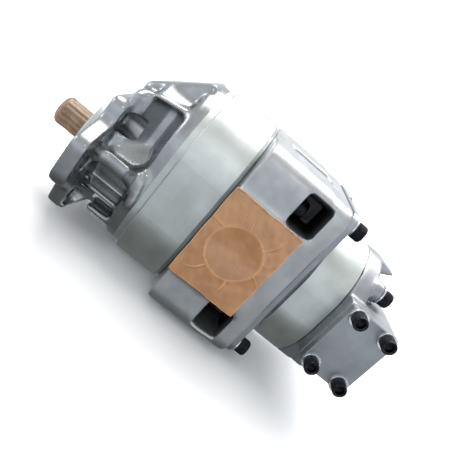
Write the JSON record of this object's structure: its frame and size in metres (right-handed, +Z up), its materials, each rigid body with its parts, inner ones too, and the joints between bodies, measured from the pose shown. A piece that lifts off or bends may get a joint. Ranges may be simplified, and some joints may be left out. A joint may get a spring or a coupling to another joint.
{
  "type": "hydraulic gear pump",
  "caption": "Tandem hydraulic gear pump with splined drive shaft, SAE flange, ribbed front bracket, common port block and a smaller rear stage.",
  "frame": {"origin": "on the drive shaft axis, in the front face of the mounting flange", "axes": "+X along the shaft towards the rear stage, the shaft tip points to -X; +Z up, from the drive shaft axis towards the driven gear axis; -Y is the suction side"},
  "size_m": [0.4805, 0.233, 0.251],
  "materials": {
    "cast_aluminium": "bare sand casting, blasted",
    "machined_aluminium": "machined joint faces",
    "gear_steel": "ground case-hardened steel",
    "bronze": "lead bronze",
    "bush_steel": "steel-backed bush",
    "seal_rubber": "nitrile rubber",
    "black_oxide": "black oxide",
    "zinc_washer": "bright zinc",
    "spring_steel": "phosphated spring steel",
    "suction_film": "tan polypropylene packing tape",
    "shaft_film": "tan crepe tape"
  },
  "bodies": {
    "housing": {"front_bracket": "cast_aluminium", "front_plate": "machined_aluminium", "front_gear_case": "machined_aluminium", "port_block": "cast_aluminium", "adapter_plate": "machined_aluminium", "rear_gear_case": "machined_aluminium", "rear_cover": "cast_aluminium", "port_cover_plate": "machined_aluminium", "front_stage_bushes": "bush_steel", "rear_stage_bushes": "bush_steel", "front_stage_wear_plates": "bronze", "rear_stage_wear_plates": "bronze", "shaft_seals": "seal_rubber", "retaining_ring": "spring_steel", "tie_bolts": "black_oxide", "corner_bolts": "black_oxide", "cover_bolts": "black_oxide", "m14_washers": "zinc_washer", "plate_screws": "black_oxide", "plate_washers": "zinc_washer", "front_case_seals": "seal_rubber", "rear_case_seals": "seal_rubber", "port_cover_seal": "seal_rubber", "dowel_pins": "gear_steel", "suction_tape": "suction_film"},
    "drive_train": {"drive_shaft": "gear_steel", "shaft_tape": "shaft_film", "coupling_sleeve": "gear_steel", "rear_drive_gear": "gear_steel"},
    "driven_gear_front": {"driven_gear": "gear_steel"},
    "driven_gear_rear": {"rear_driven_gear": "gear_steel"}
  },
  "joints": [
    {"name": "drive_spin", "type": "hinge", "parent": "housing", "child": "drive_train", "pos_m": [0, 0, 0], "axis": [1, 0, 0], "continuous": true},
    {"name": "driven_spin", "type": "hinge", "parent": "housing", "child": "driven_gear_front", "pos_m": [0.13, 0, 0.065], "axis": [1, 0, 0], "continuous": true},
    {"name": "rear_driven_spin", "type": "hinge", "parent": "housing", "child": "driven_gear_rear", "pos_m": [0.32, 0, 0.054], "axis": [1, 0, 0], "continuous": true}
  ],
  "couplings": [
    {"joint": "driven_spin", "follows": "drive_spin", "ratio": -1},
    {"joint": "rear_driven_spin", "follows": "drive_spin", "ratio": -1}
  ]
}
